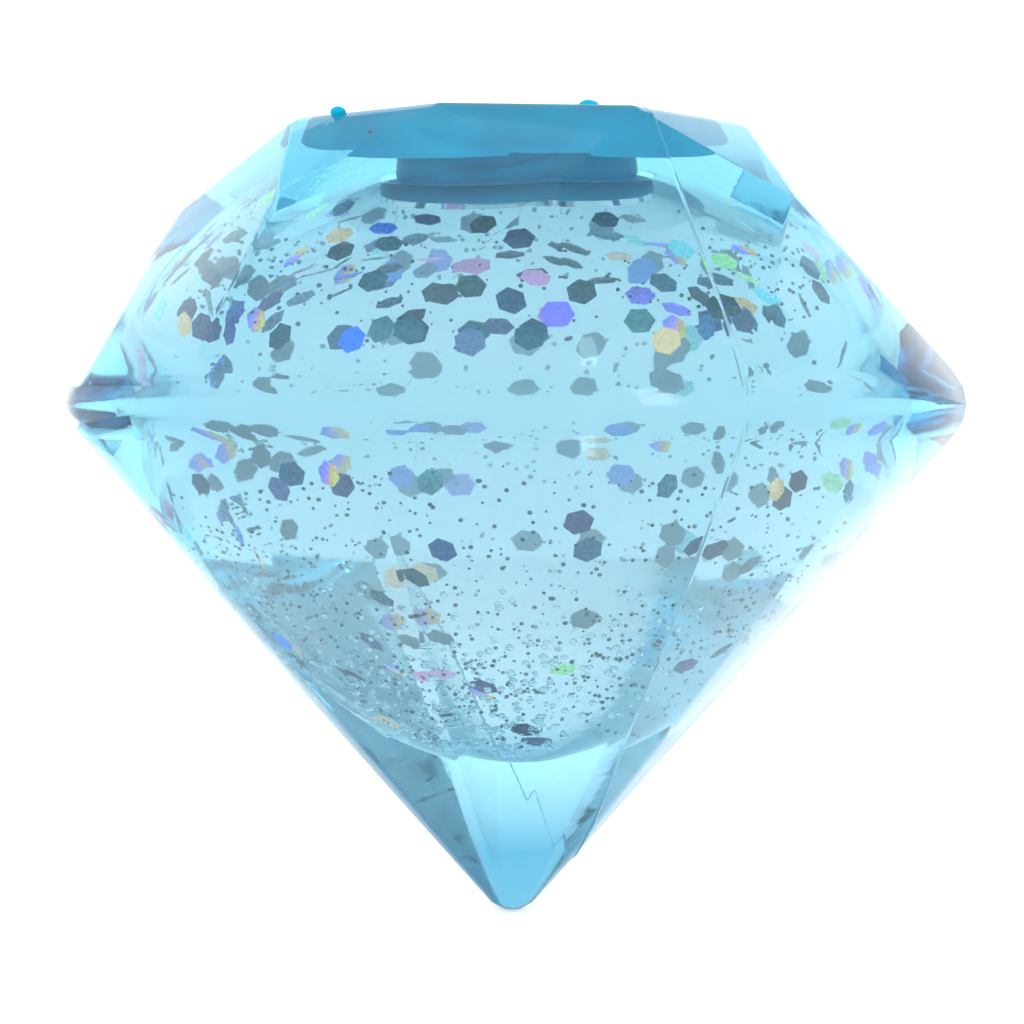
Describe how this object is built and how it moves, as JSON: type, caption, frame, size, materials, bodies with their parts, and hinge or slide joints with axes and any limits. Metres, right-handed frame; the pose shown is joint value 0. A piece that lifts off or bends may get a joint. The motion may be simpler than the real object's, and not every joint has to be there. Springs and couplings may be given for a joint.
{
  "type": "gem-shaped glitter squeeze ball",
  "caption": "Clear soft rubber ball moulded as a faceted gem, filled with pale blue liquid and drifting hexagonal glitter, closed by a turquoise plug in its flat top.",
  "frame": {"origin": "centre of the table, the gem's flat top, where the plug's head closes it", "axes": "+Z along the gem's axis, out of the table and away from the tip; -Y faces the middle of one side of the table"},
  "size_m": [0.08, 0.08, 0.07],
  "materials": {
    "shell": "gloss",
    "filling_plug": "satin",
    "sealant_bead": "satin",
    "liquid_fill": "gloss",
    "glitter_teal": "polished",
    "glitter_slate": "polished",
    "glitter_blue": "polished",
    "glitter_violet": "polished",
    "glitter_pink": "polished",
    "glitter_gold": "polished",
    "glitter_lime": "polished",
    "fine_specks": "polished"
  },
  "bodies": {
    "ball": {"shell": "shell", "filling_plug": "filling_plug", "sealant_bead": "sealant_bead"},
    "filling": {"liquid_fill": "liquid_fill", "glitter_teal": "glitter_teal", "glitter_slate": "glitter_slate", "glitter_blue": "glitter_blue", "glitter_violet": "glitter_violet", "glitter_pink": "glitter_pink", "glitter_gold": "glitter_gold", "glitter_lime": "glitter_lime", "fine_specks": "fine_specks"}
  },
  "joints": [
    {"name": "filling_swirl", "type": "hinge", "parent": "ball", "child": "filling", "pos_m": [0, 0, -0.0243], "axis": [0, 0, 1], "continuous": true}
  ]
}
